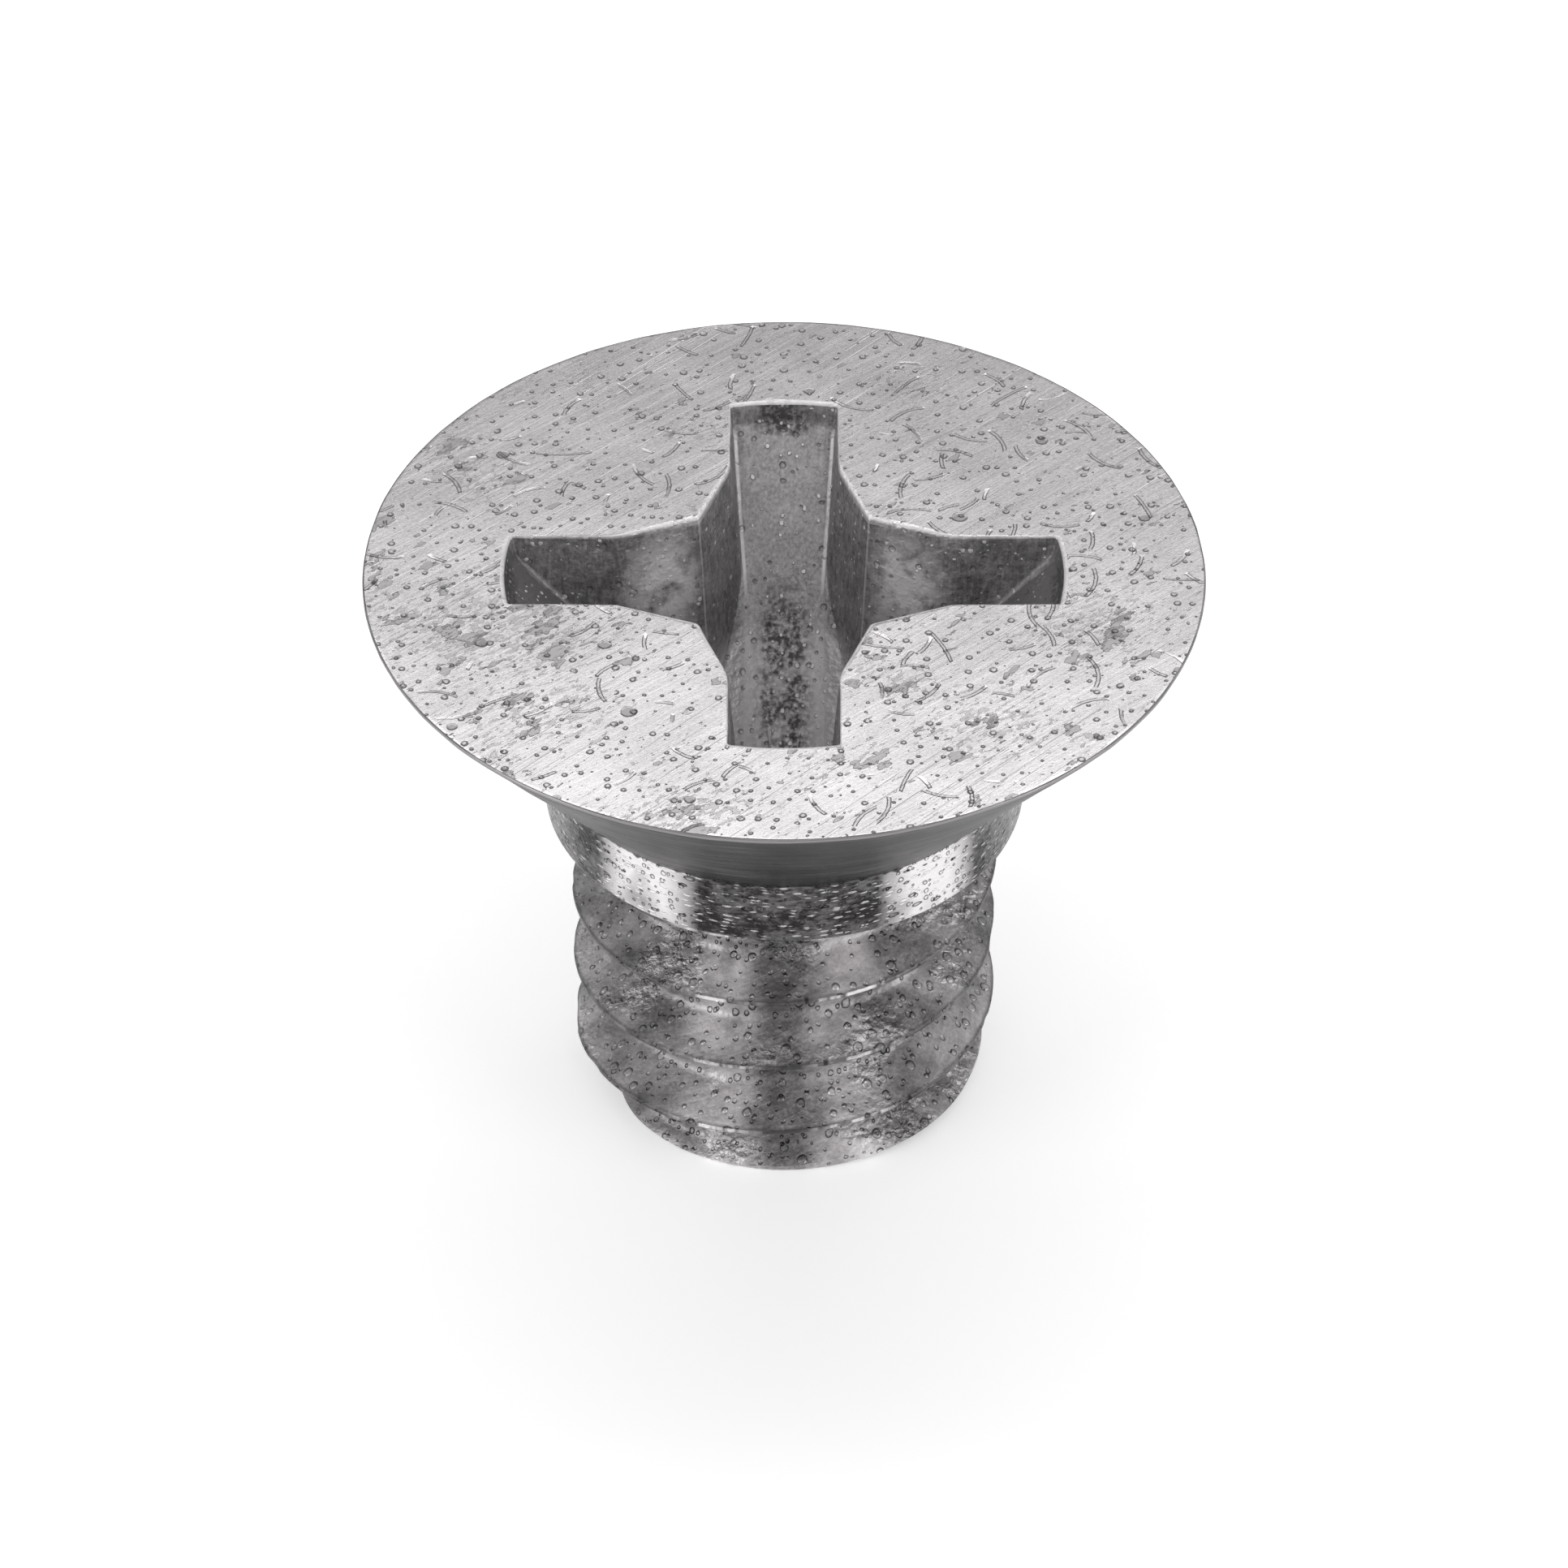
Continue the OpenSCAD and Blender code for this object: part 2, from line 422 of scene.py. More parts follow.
def side_rows(head, angle):
    """Rows from the rim down to the inner edge of the shoulder's underside: a profile of straight
    lines with rounded corners, turned about the axis."""
    radius = head.diameter / 2
    shoulder_r = head.shoulder_diameter / 2
    cone_h = (radius - shoulder_r) / math.tan(head.cone_angle / 2)
    cone_bottom = HEAD_TOP - head.rim_height - cone_h
    shoulder_bottom = cone_bottom - head.shoulder_height
    corners = np.array([
        [0, HEAD_TOP],
        [radius, HEAD_TOP],
        [radius, HEAD_TOP - head.rim_height],
        [shoulder_r, cone_bottom],
        [shoulder_r, shoulder_bottom],
        [0, shoulder_bottom],
    ])
    setbacks = (head.rim_round, head.rim_round, head.shoulder_fillet, head.shoulder_round)
    rim_top, rim_foot, fillet, lower_edge = [
        rounded(*corners[i:i + 3], setbacks[i], BEND_ROWS[i]) for i in range(len(BEND_ROWS))
    ]
    slope = straight(rim_foot[-1], fillet[0], between(CONE_ROWS))
    upright = straight(fillet[-1], lower_edge[0], between(SHOULDER_ROWS))
    cone = np.concatenate([rim_top[1:], rim_foot, slope])
    shoulder = np.concatenate([fillet, upright, lower_edge])
    return *(ring(part[:, :1], part[:, 1:], angle) for part in (cone, shoulder)), shoulder_bottom


def thread_profile_shares(thread):
    """Where the rows lie along one pitch, from 0 to 1, starting on a crest: close together at
    the crest's edges and in the root's blends, further apart on the flanks."""
    half_crest = thread.crest_width / 2 / thread.pitch
    flank = thread.depth * math.tan(thread.flank_angle / 2) / thread.pitch
    root_edge = half_crest + flank
    half = np.concatenate([
        half_crest * CREST_SHARES,
        half_crest + flank * FLANK_SHARES,
        root_edge + (0.5 - root_edge) * ROOT_SHARES,
    ])
    return np.concatenate([half, [0.5], 1 - half[:0:-1]])


# Dents along the thread's crests: how far apart they lie, in mm, the level that noise passes in a
# dent, and what brings the deepest dent to its depth. The crest also wanders in and out.
DENT_CELL, DENT_LEVEL, DENT_GAIN = 0.45, 0.35, 1.6
WANDER_CELL, WANDER_REACH = 0.9, 0.008


def thread_radius(thread, z, angle):
    """Radius of the thread at a height and an angle. The distance along the axis to the nearest
    crest of the right-hand helix gives a trapezoid, rounded at its corners, which the end's
    chamfer cuts. Noise dents the crests."""
    turn = (angle - thread.start) / math.tau
    from_groove = (z - turn * thread.pitch) / thread.pitch
    from_crest = np.abs(from_groove - np.floor(from_groove) - 0.5) * thread.pitch
    crest_r = thread.diameter / 2
    flank_z = from_crest - thread.crest_width / 2
    slope_r = crest_r - flank_z / math.tan(thread.flank_angle / 2)
    points = ring(crest_r, z, angle)
    dents = np.clip(noise(points, DENT_CELL * MM, 3) - DENT_LEVEL, 0, None)
    dents = dents * thread.nick_depth * DENT_GAIN
    wander = noise(points, WANDER_CELL * MM, 4) * WANDER_REACH * MM
    radius = smooth_min(crest_r - dents + wander, slope_r, thread.crest_round)
    radius = smooth_max(radius, crest_r - thread.depth, thread.root_round)
    end_r = thread.end_diameter / 2
    chamfer_r = end_r + (crest_r - end_r) * z / thread.chamfer_height
    return smooth_min(radius, chamfer_r, thread.crest_round)


def thread_rows(thread, angle, top):
    """Rows that follow the helix from the shoulder down to the end face. Each falls by a share of
    a pitch below the last and climbs one pitch in a turn, and all are held between end and
    shoulder. The profile's rows in one pitch are returned too, for the seam."""
    shares = thread_profile_shares(thread)
    turns = int(math.ceil(top / thread.pitch)) + 2
    fall = (np.arange(turns)[:, None] + shares).reshape(-1, 1)
    first_turn = (angle[0] - thread.start) / math.tau
    first_crest = math.floor(top / thread.pitch - first_turn - 0.5) + 1.5 + first_turn
    climb = thread.pitch * (angle - angle[0]) / math.tau
    z = np.clip(first_crest * thread.pitch - fall * thread.pitch + climb, 0, top)
    return ring(thread_radius(thread, z, angle), z, angle), len(shares)


def thread_marks(thread, rows):
    """The way down the thread's profile and the height from the nearest crest, for each row. The
    way is the sum of the lengths of the trapezoid's straight steps."""
    shares = thread_profile_shares(thread)
    share = (np.arange(rows) // len(shares)) + shares[np.arange(rows) % len(shares)]
    from_crest = np.abs(share - np.round(share)) * thread.pitch
    slope = (from_crest - thread.crest_width / 2) / math.tan(thread.flank_angle / 2)
    radius = -np.clip(slope, 0, thread.depth)
    steps = np.hypot(np.diff(radius), np.diff(share) * thread.pitch)
    return np.append(0.0, np.cumsum(steps)), from_crest


def grid_faces(rows, first, shift=0):
    """Quads between neighbouring rows and columns of a grid whose columns close into a ring. On
    the seam, the first column's rows are counted shift rows higher."""
    i, j = np.meshgrid(np.arange(rows - 1), np.arange(COLUMNS), indexing="ij")
    right = (j + 1) % COLUMNS
    drop = np.where(j == COLUMNS - 1, shift, 0)
    upper = np.clip(i - drop, 0, None) * COLUMNS
    lower = np.clip(i + 1 - drop, 0, None) * COLUMNS
    quads = [i * COLUMNS + j, (i + 1) * COLUMNS + j, lower + right, upper + right]
    return first + np.stack(quads, axis=-1).reshape(-1, 4)


def tail_faces(rows, first, shift):
    """Triangles that close the seam's end, where the first column's last rows have no partner."""
    i = np.arange(rows - 1 - shift, rows - 1)
    last = (rows - 1) * COLUMNS + COLUMNS - 1
    return first + np.stack([np.full_like(i, last), (i + 1) * COLUMNS, i * COLUMNS], axis=-1)


def unrolled_corners(heights, marks, radius, angle):
    """What the corners of grid_faces carry to the materials, in mm: the way round the axis at a
    radius, the way down the profile, and a mark that each row has."""
    around = np.append(angle, angle[0] + math.tau) * radius
    i, j = np.meshgrid(np.arange(len(heights) - 1), np.arange(COLUMNS), indexing="ij")
    corners = [(i, j), (i + 1, j), (i + 1, j + 1), (i, j + 1)]
    carried = [np.stack([around[col], heights[row], marks[row]], axis=-1) for row, col in corners]
    return np.stack(carried, axis=2).reshape(-1, 3) / MM


# The unevenness of the pressed and turned surfaces: the cell and reach of its noise in mm, with a
# seed for each direction.
UNEVEN = ((0.6, 0.008, (11, 12, 13)), (0.2, 0.004, (14, 15, 16)))
# How much of it the floor, the walls with the lip, the flat, the cone and the shoulder take.
UNEVEN_SHARES = (0.3, 1.0, 0.0, 0.8, 0.6)


def wear_edges(rows, counts):
    """Small unevenness of the pressed and turned surfaces: each point moves by smooth noise of
    two sizes, except on the flat and where the lip meets it, which are ground level."""
    share = np.repeat(UNEVEN_SHARES, counts)
    share[counts[0] + counts[1] - 1] = 0.0
    coarse, fine = [
        reach * MM * np.stack([noise(rows, cell * MM, seed) for seed in seeds], axis=-1)
        for cell, reach, seeds in UNEVEN
    ]
    return rows + (coarse + fine) * share[:, None, None]


# The screw's surfaces, in the order of its material slots.
RECESS, FLAT, CONE, SHOULDER, THREAD = range(5)


def build_screw_mesh(sizes):
    """The whole screw as one closed grid: rows run from the middle of the recess over the flat,
    the rim, the cone, the shoulder and the thread to the middle of the end face, and columns run
    once round the axis. Each band of rows keeps its own material."""
    head, thread, recess = sizes.head, sizes.thread, sizes.recess
    columns = recess_columns()
    mouth = recess_outline(recess, columns, np.zeros(COLUMNS))
    own = (np.arctan2(mouth[:, 1], mouth[:, 0]) - SEAM) % math.tau + SEAM
    even = SEAM + (np.arange(COLUMNS) + 0.5) * 2 * math.pi / COLUMNS
    angle = (own + even) / 2

    floor, walls, flat = recess_rows(recess, head, columns, angle)
    cone, shoulder, shoulder_bottom = side_rows(head, angle)
    shank, per_pitch = thread_rows(thread, angle, shoulder_bottom)
    end_r = np.linalg.norm(shank[-1, :, :2], axis=-1)
    end = ring(end_r * (1 - between(END_ROWS))[:, None], 0.0, angle)

    bands = [floor, walls, flat, cone, shoulder]
    counts = [len(band) for band in bands]
    upper = wear_edges(np.concatenate(bands), counts)
    points = np.concatenate([upper, shank, end])
    poles = np.array([[0, 0, HEAD_TOP - floor_depth(recess, 0.0)], [0, 0, 0.0]])
    vertices = np.concatenate([points.reshape(-1, 3), poles])

    shank_first = len(upper) * COLUMNS
    end_first = shank_first + (len(shank) - 1) * COLUMNS
    upper_quads = grid_faces(len(upper) + 1, 0)
    shank_quads = grid_faces(len(shank), shank_first, per_pitch)
    end_quads = grid_faces(len(end) + 1, end_first)
    quads = np.concatenate([upper_quads, shank_quads, end_quads])
    tail = tail_faces(len(shank), shank_first, per_pitch)
    j = np.arange(COLUMNS)
    right = (j + 1) % COLUMNS
    last_row = (len(points) - 1) * COLUMNS
    top_pole, end_pole = len(vertices) - 2, len(vertices) - 1
    top_fan = np.stack([np.full(COLUMNS, top_pole), j, right], axis=-1)
    end_fan = np.stack([last_row + j, np.full(COLUMNS, end_pole), last_row + right], axis=-1)
    triangles = np.concatenate([top_fan, tail, end_fan])

    upper_slots = np.repeat([RECESS, RECESS, FLAT, CONE, SHOULDER], counts)
    slots = np.concatenate([
        np.repeat(np.append(upper_slots[1:], SHOULDER), COLUMNS),
        np.full(len(shank_quads) + len(end_quads), THREAD),
        np.full(len(top_fan), RECESS),
        np.full(len(tail) + len(end_fan), THREAD),
    ])

    # Marks are 1 on the crease and the rim and 2 on the lip. On the thread a mark is the height
    # from the nearest crest in mm.
    marks = np.zeros(len(upper) + 1)
    wall_first, flat_first, cone_first = np.cumsum(counts[:3])
    marks[wall_first:wall_first + CREASE_ROWS] = MM
    marks[flat_first - LIP_ROWS:flat_first] = 2 * MM
    marks[cone_first:cone_first + RIM_ROWS] = MM
    heights = HEAD_TOP - np.append(upper[:, 0, 2], shoulder_bottom)
    way, from_crest = thread_marks(thread, len(shank))
    end_way = way[-1] + np.append(0, end_r[0] * between(END_ROWS))
    end_marks = np.full(len(end) + 1, thread.pitch / 2)
    carried = np.concatenate([
        unrolled_corners(heights, marks, head.shoulder_diameter / 2, angle),
        unrolled_corners(way, from_crest, thread.diameter / 2, angle),
        unrolled_corners(end_way, end_marks, thread.end_diameter / 2, angle),
        np.zeros((triangles.size, 3)),
    ])
    return vertices, quads, triangles, slots, carried


def set_out(name, data):
    """An object with this data, in the scene."""
    holder = bpy.data.objects.new(name, data)
    bpy.context.scene.collection.objects.link(holder)
    return holder


# How near two points have to lie to be one, in mm, and the least angle of a sharp edge.
DOUBLES_WITHIN = 0.0002
SHARP_ANGLE = math.radians(40)


def make_piece(name, vertices, quads, triangles, slots, carried, materials):
    """A mesh object from arrays, with doubles merged and smooth shading up to sharp edges. Its
    face corners carry the attribute "unrolled"."""
    mesh = bpy.data.meshes.new(name)
    mesh.from_pydata(vertices.tolist(), [], quads.tolist() + triangles.tolist())
    mesh.polygons.foreach_set("material_index", slots.astype(np.int32))
    own_place = mesh.attributes.new("unrolled", "FLOAT_VECTOR", "CORNER")
    own_place.data.foreach_set("vector", carried.astype(np.float32).ravel())
    for material in materials:
        mesh.materials.append(material)
    work = bmesh.new()
    work.from_mesh(mesh)
    bmesh.ops.remove_doubles(work, verts=work.verts, dist=DOUBLES_WITHIN * MM)
    work.to_mesh(mesh)
    work.free()
    mesh.polygons.foreach_set("use_smooth", np.ones(len(mesh.polygons), bool))
    mesh.set_sharp_from_angle(angle=SHARP_ANGLE)
    mesh.update()
    return set_out(name, mesh)


# ---------------------------------------------------------------- materials

MATH = "ShaderNodeMath"
VECTOR = "ShaderNodeVectorMath"
RANGE = "ShaderNodeMapRange"
NOISE = "ShaderNodeTexNoise"
SPLIT = "ShaderNodeSeparateXYZ"


def plug(tree, value, socket):
    """Sets a socket to a value, or links it to another socket. A node stands for its first
    output in use."""
    if isinstance(value, bpy.types.Node):
        value = next(output for output in value.outputs if output.enabled)
    if isinstance(value, bpy.types.NodeSocket):
        tree.links.new(value, socket)
    else:
        socket.default_value = value


def add(tree, kind, *inputs, **options):
    """Adds a node, sets its options, and fills its sockets in use in their order, by a value or
    a link. None leaves a socket as it is."""
    node = tree.nodes.new(kind)
    for name, value in options.items():
        setattr(node, name, value)
    sockets = [socket for socket in node.inputs if socket.enabled]
    for value, socket in zip(inputs, sockets):
        if value is not None:
            plug(tree, value, socket)
    return node


def product(tree, *factors):
    """The factors multiplied together. A value given with a start and an end is an even slope
    from 0 to 1 between them, and one more number lifts its 0."""
    total = None
    for factor in factors:
        if isinstance(factor, tuple):
            factor = add(tree, RANGE, *factor)
        total = factor if total is None else add(tree, MATH, total, factor, operation="MULTIPLY")
    return total


def weighted(tree, *terms):
    """The sum of each socket or number times its weight."""
    total = 0.0
    for value, weight in terms:
        total = add(tree, MATH, value, weight, total, operation="MULTIPLY_ADD")
    return total


def layered(tree, base, *coats):
    """A colour under coats: each is a colour and the factors of the share that it covers."""
    for coat, *factors in coats:
        base = add(tree, "ShaderNodeMix", product(tree, *factors), base, coat, data_type="RGBA")
    return base


def millimetres(tree):
    """Object coordinates in millimetres."""
    place = add(tree, "ShaderNodeTexCoord").outputs["Object"]
    return add(tree, VECTOR, place, 1 / MM, operation="SCALE")


def unrolled(tree):
    """The mesh's own coordinates in millimetres, whole and then one by one: the way round the
    axis, the way down the profile and the row's mark."""
    own = add(tree, "ShaderNodeAttribute", attribute_name="unrolled").outputs["Vector"]
    return own, *add(tree, SPLIT, own).outputs


def streaks(tree, place, size, turn=0.0, detail=3.0, roughness=0.6):
    """Noise whose cells measure size, three lengths in mm, turned in the plane by turn. Where a
    length is 0 the noise is the same all that way. From 0 to 1, mostly between 0.3 and 0.7."""
    cells = add(tree, "ShaderNodeMapping", place, None, (0, 0, turn), size, vector_type="TEXTURE")
    return add(tree, NOISE, cells, 1.0, detail, roughness)


def rings(tree, place, length, width, detail=3.0):
    """Turned streaks around the axis: noise on the direction from the axis and the height, so
    that streaks are about length mm long at 4 mm from the axis and width mm high. From 0 to 1."""
    flat = add(tree, VECTOR, place, (1, 1, 0), operation="MULTIPLY")
    direction = add(tree, VECTOR, flat, operation="NORMALIZE")
    around = add(tree, VECTOR, direction, 4 / length, operation="SCALE")
    up = add(tree, VECTOR, place, (0, 0, 1 / width), operation="MULTIPLY")
    cells = add(tree, VECTOR, around, up, operation="ADD")
    return add(tree, NOISE, cells, 1.0, detail, 0.6)


def blotches(tree, place, size, low, high, detail=4.0, seed=0.0):
    """Patches about size mm across: noise, cut to run from 0 below low to 1 above high."""
    moved = add(tree, VECTOR, place, (seed, seed * 0.7, seed * 1.3), operation="ADD")
    cells = add(tree, VECTOR, moved, 1 / size, operation="SCALE")
    return add(tree, RANGE, add(tree, NOISE, cells, 1.0, detail, 0.5), low, high)


def outlined(tree, value, level, width):
    """The region where a noise passes level, and a band along its edge about width high."""
    region = add(tree, RANGE, value, level, level + width)
    past = add(tree, RANGE, value, level + 2.2 * width, level + width)
    return region, product(tree, region, past)


def near(tree, place, centre, radii):
    """1 within half an ellipsoid's radii, three lengths in mm, of its centre, falling to 0 at one
    and a half times them."""
    offset = add(tree, VECTOR, place, centre, operation="SUBTRACT")
    scaled = add(tree, VECTOR, offset, radii, operation="DIVIDE")
    return add(tree, RANGE, add(tree, VECTOR, scaled, operation="LENGTH"), 1.5, 0.5)


def lobes(tree, way, period, start):
    """Lengthwise bands round the axis: a cosine of the way round, from 0 to 1, highest at start."""
    rate = math.tau / period
    phase = add(tree, MATH, way, rate, -math.tau * start / period, operation="MULTIPLY_ADD")
    wave = add(tree, MATH, phase, operation="COSINE")
    return add(tree, MATH, wave, 0.5, 0.5, operation="MULTIPLY_ADD")


def shaken(tree, place, size, reach):
    """Coordinates moved by up to reach mm by noise of the given size, to roughen outlines."""
    shake = add(tree, NOISE, place, 1 / size, 2.0).outputs["Color"]
    centred = add(tree, VECTOR, shake, (0.5, 0.5, 0.5), operation="SUBTRACT")
    return add(tree, VECTOR, centred, (2 * reach,) * 3, place, operation="MULTIPLY_ADD")


def random_cells(tree, place, cell, dimensions, seed):
    """A Voronoi pattern whose cells are cell mm wide, moved by its seed: the moved coordinates,
    the pattern's node, and three values from 0 to 1 that each cell has at random."""
    moved = add(tree, VECTOR, place, (seed, seed * 1.7, seed * 0.6), operation="ADD")
    cells = add(tree, "ShaderNodeTexVoronoi", moved, 1 / cell, voronoi_dimensions=dimensions)
    chances = add(tree, "ShaderNodeSeparateColor", cells.outputs["Color"]).outputs
    return moved, cells, *chances


def pits(tree, place, cell, small, large, share, dimensions="2D", seed=0.0, wall=0.03):
    """Round pits, at most one in each random cell. A pit's radius is from small to large mm, more
    often small, and share of the cells have one. Returns the pit's bowl, whose wall is wall mm
    wide, and the mask of its rim."""
    _, cells, size, luck, _ = random_cells(tree, place, cell, dimensions, seed)
    spread = add(tree, MATH, size, 1.5, operation="POWER")
    radius = add(tree, MATH, spread, large - small, small, operation="MULTIPLY_ADD")
    gap = add(tree, MATH, cells.outputs["Distance"], cell, operation="MULTIPLY")
    inside = add(tree, MATH, radius, gap, operation="SUBTRACT")
    there = add(tree, MATH, luck, share, operation="LESS_THAN")
    bowl = product(tree, (inside, 0.0, wall), there)
    rim = product(tree, (inside, -0.008, 0.004), (inside, 0.024, 0.008), there)
    return bowl, rim


def scratches(tree, place, cell, length, bend, width, share, seed=0.0):
    """Short curved scratches, at most one in each random cell. Each lies on a circle of radius
    bend mm, turned at random, and is width mm wide and from 0.4 to 1 of length mm long. Returns
    the scratch's mask and the mask of its edges."""
    moved, cells, heading, luck, size = random_cells(tree, place, cell, "2D", seed)
    local = add(tree, VECTOR, moved, cells.outputs["Position"], operation="SUBTRACT")
    turn = add(tree, MATH, heading, math.tau, operation="MULTIPLY")
    turned = add(tree, "ShaderNodeVectorRotate", local, None, turn, rotation_type="Z_AXIS")
    flat = add(tree, VECTOR, turned, (1, 1, 0), (0, bend, 0), operation="MULTIPLY_ADD")
    reach = add(tree, VECTOR, flat, operation="LENGTH")
    off = add(tree, MATH, reach, bend, operation="SUBTRACT")
    off = add(tree, MATH, off, operation="ABSOLUTE")
    along = add(tree, MATH, add(tree, SPLIT, turned), operation="ABSOLUTE")
    half = add(tree, MATH, size, length * 0.3, length * 0.2, operation="MULTIPLY_ADD")
    left = add(tree, MATH, half, along, operation="SUBTRACT")
    there = add(tree, MATH, luck, share, operation="LESS_THAN")
    track = add(tree, RANGE, off, width / 2, width / 2 - 0.014)
    mask = product(tree, track, (left, 0.0, 0.03), there)
    return mask, product(tree, mask, (off, width / 2 - 0.026, width / 2 - 0.012))


def metal(name, surface, bare=1.0):
    """A material of bare metal. Its surface adds nodes to its tree and returns the colour, the
    roughness and the height in mm. Where bare is less than 1, the rest is a dull film, which
    takes light from all sides."""
    material = bpy.data.materials.new(name)
    material.use_nodes = True
    tree = material.node_tree
    shader = tree.nodes["Principled BSDF"]
    shader.inputs["Metallic"].default_value = bare
    base, roughness, height = surface(tree, settings().steel)
    bump = add(tree, "ShaderNodeBump", 1.0, MM, None, height)
    for key, value in {"Base Color": base, "Roughness": roughness, "Normal": bump}.items():
        plug(tree, value, shader.inputs[key])
    return material


WHITE = (1.0, 1.0, 1.0, 1.0)
# The way that the flat of the head was ground, from the X axis.
GRIND_TURN = math.radians(39)
# Where the flat is most worn: x, y and radius in mm.
WORN_PLACES = [(-4.1, -1.3, 1.7), (4.3, -1.2, 1.1), (-3.4, -3.2, 0.9), (2.9, -3.6, 0.9)]


# The flat of the head was ground and has been handled for years: long fine streaks one way over
# a sandy ground, crossed by short curved scratches in groups and sprinkled with small grey-filled
# pits, which gives the eye a bright, grainy, plain silver. The grit's marks are some 0.005 mm
# wide, too fine to show, so the finest streaks are drawn 0.022 mm wide.
def ground_surface(tree, steel):
    place = millimetres(tree)
    rough_place = shaken(tree, place, 0.08, 0.014)
    wide = streaks(tree, place, (2.5, 0.09, 1), GRIND_TURN)
    fine = streaks(tree, place, (1.3, 0.022, 1), GRIND_TURN, 2.0)
    sand = streaks(tree, place, (0.045, 0.03, 1), GRIND_TURN, 2.0, 0.7)
    clouds = blotches(tree, place, 1.3, 0.35, 0.68)
    white = streaks(tree, place, (2.2, 0.05, 1), GRIND_TURN + 0.04, 2.0)
    white = add(tree, RANGE, white, 0.56, 0.66)
    hair = streaks(tree, place, (4.0, 0.03, 1), GRIND_TURN + 0.12, 1.0)
    hair = add(tree, RANGE, hair, 0.67, 0.72)

    worn = [near(tree, place, (x, y, HEAD_TOP / MM), (size, size * 0.7, 1))
            for x, y, size in WORN_PLACES]
    crowd = worn[0]
    for spread in (*worn[1:], blotches(tree, place, 2.0, 0.56, 0.7, 1.0, seed=3.1)):
        crowd = add(tree, MATH, crowd, spread, operation="MAXIMUM")
    specks = streaks(tree, rough_place, (0.16, 0.065, 1), GRIND_TURN, 2.0)
    specks = add(tree, MATH, crowd, 0.14, specks, operation="MULTIPLY_ADD")
    patches = streaks(tree, rough_place, (0.55, 0.34, 1), GRIND_TURN)
    patches = add(tree, MATH, crowd, 0.06, patches, operation="MULTIPLY_ADD")
    density = blotches(tree, place, 1.1, 0.35, 0.6, 1.0, seed=12.0)
    density = weighted(tree, (density, 0.55), (0.35, 1.0))
    groups = blotches(tree, place, 1.8, 0.48, 0.54, 1.0, seed=9.4)
    worms = scratches(tree, rough_place, 0.62, 0.8, 0.7, 0.068, 0.75)
    # The mask of each kind of mark and the mask of its edge, with its film, its dark edge and its
    # height in mm: pits, dots, spots, short scratches in groups, long ones, specks and patches.
    marks = [
        (pits(tree, rough_place, 0.3, 0.03, 0.062, density), 0.3, 0.38, -0.018),
        (pits(tree, rough_place, 0.27, 0.012, 0.034, 0.45, seed=7.7, wall=0.015), 0.8, 0.35, -0.01),
        (pits(tree, shaken(tree, place, 0.2, 0.03), 1.6, 0.07, 0.15, 0.4, seed=21.0),
         0.8, 0.65, -0.008),
        ([product(tree, mask, groups) for mask in worms], 0.25, 0.55, -0.012),
        (scratches(tree, rough_place, 1.5, 1.0, 2.0, 0.062, 0.25, seed=5.5), 0.25, 0.55, -0.012),
        (outlined(tree, specks, 0.668, 0.02), 0.45, 0.3, -0.004),
        (outlined(tree, patches, 0.65, 0.012), 0.65, 0.45, -0.004),
    ]

    film = weighted(tree, *((mask, grey) for (mask, _), grey, _, _ in marks), (hair, 0.3))
    edges = weighted(tree, *((edge, dark) for (_, edge), _, dark, _ in marks))
    tone = weighted(tree, (wide, 0.3), (fine, 0.6), (sand, 1.0), (clouds, 0.25), (-0.6, 1.0))
    base = layered(tree, steel.ground_dark, (steel.ground_light, tone), (WHITE, white, 0.2),
                   (steel.stain, film), (steel.rim, edges))
    roughness = weighted(tree, (0.21, 1.0), (wide, 0.08), (film, 0.12))
    height = weighted(tree, (fine, 0.0005), (wide, 0.0006), (sand, 0.0009),
                      *((mask, rise) for (mask, _), _, _, rise in marks), (hair, -0.002))
    return base, roughness, height
